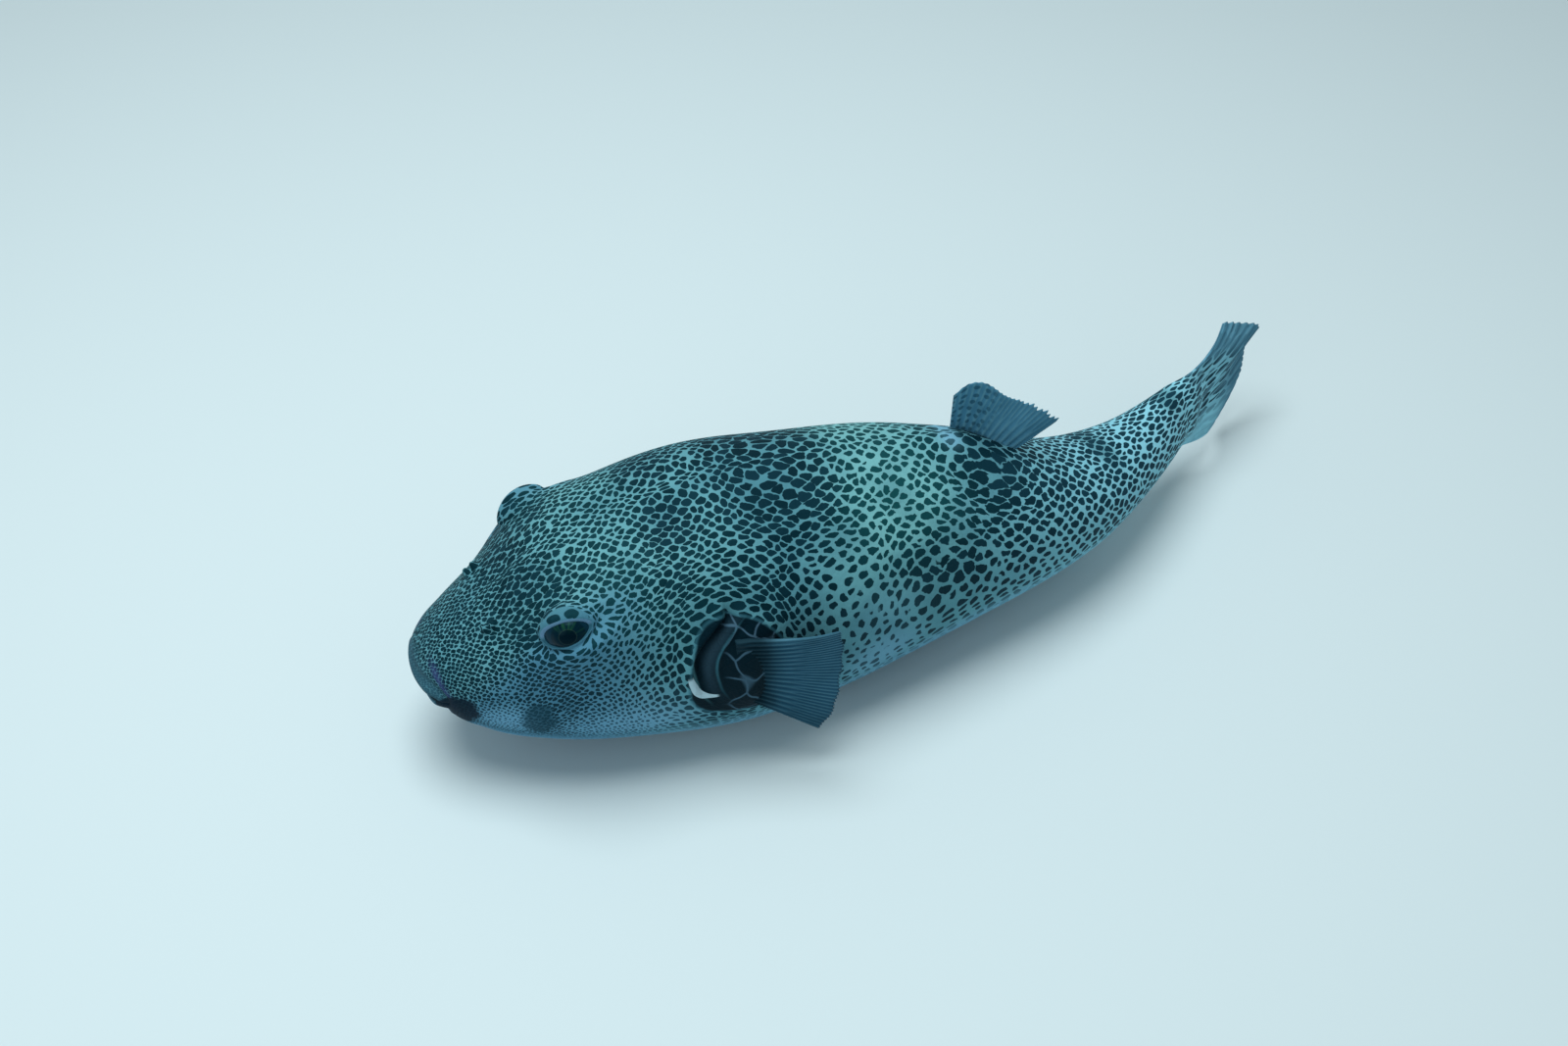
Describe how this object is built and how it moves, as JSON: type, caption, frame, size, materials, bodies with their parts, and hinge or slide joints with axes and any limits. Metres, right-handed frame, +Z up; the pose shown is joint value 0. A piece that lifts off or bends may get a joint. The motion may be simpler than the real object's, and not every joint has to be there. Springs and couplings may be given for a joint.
{
  "type": "starry pufferfish",
  "caption": "Life-size spotted pufferfish at rest on its belly, with its tail turned aside and close dark spots in a pale net all over it.",
  "frame": {"origin": "on the floor under the middle of the belly, where the flat underside of the trunk rests", "axes": "+Z up from the floor; the head points along -X and the tail along +X; the left flank faces -Y and the tail turns towards +Y"},
  "size_m": [0.8727, 0.2948, 0.2352],
  "materials": {
    "skin": "wet fine-grained skin, pale with near-black spots",
    "fin": "thin translucent web over soft rays",
    "lip": "smooth moist flesh",
    "beak": "smooth tooth enamel",
    "eye": "wet clear cornea over a dark red-brown iris"
  },
  "bodies": {
    "root": {"head": "skin", "trunk": "skin", "tail": "skin", "nostril_left": "skin", "nostril_right": "skin", "lip_upper": "lip", "lip_lower": "lip", "beak_upper": "beak", "beak_lower": "beak", "eye_left": "eye", "eye_right": "eye", "pectoral_fin_left": "fin", "pectoral_fin_right": "fin", "dorsal_fin": "fin", "anal_fin": "fin", "caudal_fin": "fin"}
  },
  "joints": []
}
